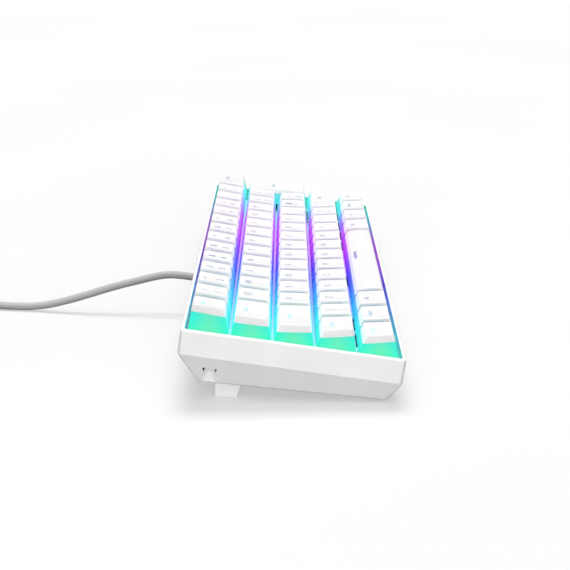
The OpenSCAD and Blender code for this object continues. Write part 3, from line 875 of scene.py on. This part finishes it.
CORNER_R = 2.0
BAND_H = 11.5
FRONT_H, BACK_H = 21.5, 25.5
END_IN, FRONT_IN, BACK_IN = 6.0, 5.4, 10.7
RIM_R, EDGE_R, SKIN = 0.8, 0.9, 0.02
CORNER_LOSS, EDGE_IN = 0.9, 0.7
ABOVE_CREASE = 0.1
TURN_STEPS = 10
CREASE_SHARES = (0.01, 0.04, 0.08, 0.12, 0.5)
CASE_SMOOTH = 11

# Faces larger than this, in square metres, stay flat
FLAT_AREA = 8e-6

# The two holes beside each foot, whose walls are painted black: painted shade for the dark inside of the
# holes
EYES_Y, EYE_Z, EYE_R = (32.9, 37.4), -17.9, 0.9
EYE_SLACK = 0.05


def case_ring(share, inset, r, lift):
    """Points round the case, at a share of the way from the crease down to the underside."""
    x_front = CASE_HALF_L - END_IN * share * (FRONT_H - BAND_H) / (BACK_H - BAND_H)
    x_back = CASE_HALF_L - END_IN * share
    front, back = -CASE_HALF_W + FRONT_IN * share, CASE_HALF_W - BACK_IN * share
    corners = [(-x_front, front), (x_front, front), (x_back, back), (-x_back, back)]
    z_front, z_back = -BAND_H - share * (FRONT_H - BAND_H), -BAND_H - share * (BACK_H - BAND_H)
    points = []
    for p in outline(corners, inset, r, TURN_STEPS, math.inf):
        z = z_front + (p.y - front) / (back - front) * (z_back - z_front)
        points.append(Vector((p.x, p.y, z + lift)))
    return points


def case_rings():
    turns = [k / TURN_STEPS * math.pi / 2 for k in range(TURN_STEPS + 1)]
    rings = []
    for a in turns:
        inset = SKIN + RIM_R * (1 - math.sin(a))
        rings.append(case_ring(0, inset, CORNER_R - inset, BAND_H - SKIN - RIM_R * (1 - math.cos(a))))
    rings.append(case_ring(0, SKIN, CORNER_R, ABOVE_CREASE))
    deep = BACK_H - BAND_H
    for share in CREASE_SHARES:
        rings.append(case_ring(share, SKIN, max(EDGE_R, CORNER_R - CORNER_LOSS * share * deep), 0))
    for a in turns:
        inset = SKIN + EDGE_IN * EDGE_R * (1 - math.cos(a))
        rings.append(case_ring(1 - (EDGE_R * (1 - math.sin(a)) + SKIN) / deep, inset, EDGE_R, 0))
    return rings


def case_skin():
    skin = bmesh.new()
    rows = [[skin.verts.new(p) for p in ring] for ring in case_rings()]
    for low, high in zip(rows, rows[1:]):
        add_ring_faces(skin, low, high, 0)
    skin.faces.new(rows[0])
    skin.faces.new(rows[-1])
    bmesh.ops.recalc_face_normals(skin, faces=skin.faces)
    return skin


def common(a, b):
    """What two meshes have in common. Both are used up."""
    made, tool = mesh_object("made", a), mesh_object("tool", b)
    trim = made.modifiers.new("trim", "BOOLEAN")
    trim.operation = "INTERSECT"
    trim.solver = "EXACT"
    trim.object = tool
    me = bpy.data.meshes.new_from_object(made.evaluated_get(bpy.context.evaluated_depsgraph_get()))
    bm = bmesh.new()
    bm.from_mesh(me)
    for data in (me, made.data, tool.data):
        bpy.data.meshes.remove(data)
    return bm


def make_case():
    solid = solid_mesh("bottom_case")
    solid.transform(FROM_SCENE)
    bm = common(case_skin(), solid)
    triangulate_wide(bm)
    materials = [CASE_WHITE, BLACK]
    # Faces round the two holes get the black plastic, as painted shade for the dark inside of the holes
    for face in bm.faces:
        mid = face.calc_center_median()
        if min(math.hypot(mid.y - y, mid.z - EYE_Z) for y in EYES_Y) < EYE_R + EYE_SLACK:
            face.material_index = materials.index(BLACK)
    bm.transform(TO_SCENE)
    shell = finish_piece("case_shell", bm, materials, "case", "bottom_case", CASE_SMOOTH)
    for face in shell.data.polygons:
        face.use_smooth = face.area < FLAT_AREA


def paint(node, material):
    data = nodes[node].data
    data.materials.clear()
    data.materials.append(material)


# Floor

FLOOR_HALF = 6
FLOOR_GREYS = (0.338, 0.338, 0.338), (0.358, 0.358, 0.358)
FLOOR_GLOW = 0.465


def make_stage():
    n = Nodes("floor_paper")
    dark, light = FLOOR_GREYS
    n.colour(n.ramp(n.noise(3), [(0.3, dark), (0.7, light)]))
    n.put(Roughness=0.9, Specular_IOR_Level=0.0, Emission_Color=(1, 1, 1, 1), Emission_Strength=FLOOR_GLOW)
    bm = bmesh.new()
    bmesh.ops.create_grid(bm, x_segments=1, y_segments=1, size=FLOOR_HALF)
    floor = mesh_object("floor", bm)
    floor.data.materials.append(n.mat)
    floor.visible_diffuse = floor.visible_glossy = False


# Light: a dome over the camera's side, dim past the long sides, and soft boxes low in front and overhead

DOME, DOME_BEHIND, DOME_BELOW = 1.15, 0.44, 0.03
SOFT_BOX, LOW_BOX = 13.0, 8.4
SIDE_SHARE = 0.32

# Where they fade, as parts of a direction's X, Y and Z
BEHIND_X, SIDES_Y, HORIZON_Z = (-0.3, 0.4), (0.3, 0.65), (-0.06, 0.06)
SOFT_X, SOFT_Y, SOFT_Z = (0.08, 0.24), (0.12, 0.42), (0.78, 0.86)
LOW_X, LOW_FROM_Z, LOW_TO_Z = (-0.75, -0.6), (0.0, 0.08), (0.18, 0.3)


def make_light():
    world = bpy.data.worlds.new("studio")
    world.use_nodes = True
    n = Tree(world.node_tree)
    split = n.add("ShaderNodeSeparateXYZ")
    n.link(n.add("ShaderNodeTexCoord").outputs["Generated"], split.inputs[0])

    def fade(value, bounds, start, end):
        return n.span(value, *bounds, start, end, "SMOOTHSTEP")

    x, y, z = split.outputs
    wide = n.math("ABSOLUTE", y)
    sides = fade(wide, SIDES_Y, 1.0, SIDE_SHARE)
    dome = n.product(fade(x, BEHIND_X, DOME, DOME_BEHIND), sides, fade(z, HORIZON_Z, DOME_BELOW, 1.0))
    box = n.product(fade(z, SOFT_Z, 0.0, SOFT_BOX), fade(wide, SOFT_Y, 1.0, 0.0), fade(x, SOFT_X, 0.0, 1.0))
    low = n.product(fade(z, LOW_TO_Z, LOW_BOX, 0.0), fade(x, LOW_X, 1.0, 0.0))
    low = n.product(low, fade(z, LOW_FROM_Z, 0.0, 1.0), sides)
    background = n.tree.nodes["Background"]
    background.inputs["Color"].default_value = (1, 1, 1, 1)
    n.link(n.math("ADD", n.math("ADD", dome, box), low), background.inputs["Strength"])
    bpy.context.scene.world = world
    bpy.context.scene.view_settings.view_transform = "Standard"


# Making: the camera and the cable, the other pieces, the solids that are shown as they are, and the stage

PAINTS = {
    "switch_plate": PLATE, "circuit_board": BOARD, "controller_chip": BLACK, "backlight_leds": LENS_GLOW,
    "switch_housings": BLACK, "switch_springs": STEEL, "stabiliser_housings": BLACK, "case_screws": STEEL,
    "rubber_pads": PAD_RUBBER, "cable_grommet": GROMMET_RUBBER, "cable_header": HEADER,
    "wire_backspace": STEEL, "wire_enter": STEEL, "wire_right_shift": STEEL, "wire_space": STEEL,
}

make_camera()
cable, route = make_cable()
make_keys()
make_case()
rounded("tilt_foot_left", "foot_left", FOOT_WHITE, "tilt_foot_left", width=0.25)
rounded("tilt_foot_right", "foot_right", FOOT_WHITE, "tilt_foot_right", width=0.25)
plug = rounded("usb_a_plug", "plug_grip", PLUG_GRIP, "case", width=0.9)
shell = rounded("usb_a_shell", "plug_shell", PLATED, "case", width=0.12)
tie = rounded("cable_tie", "coil_tie", TIE, "case", width=0.2)
for node, material in PAINTS.items():
    paint(node, material)

tuple(route[0])
round(path_length(route), 3)
make_stage()
make_light()
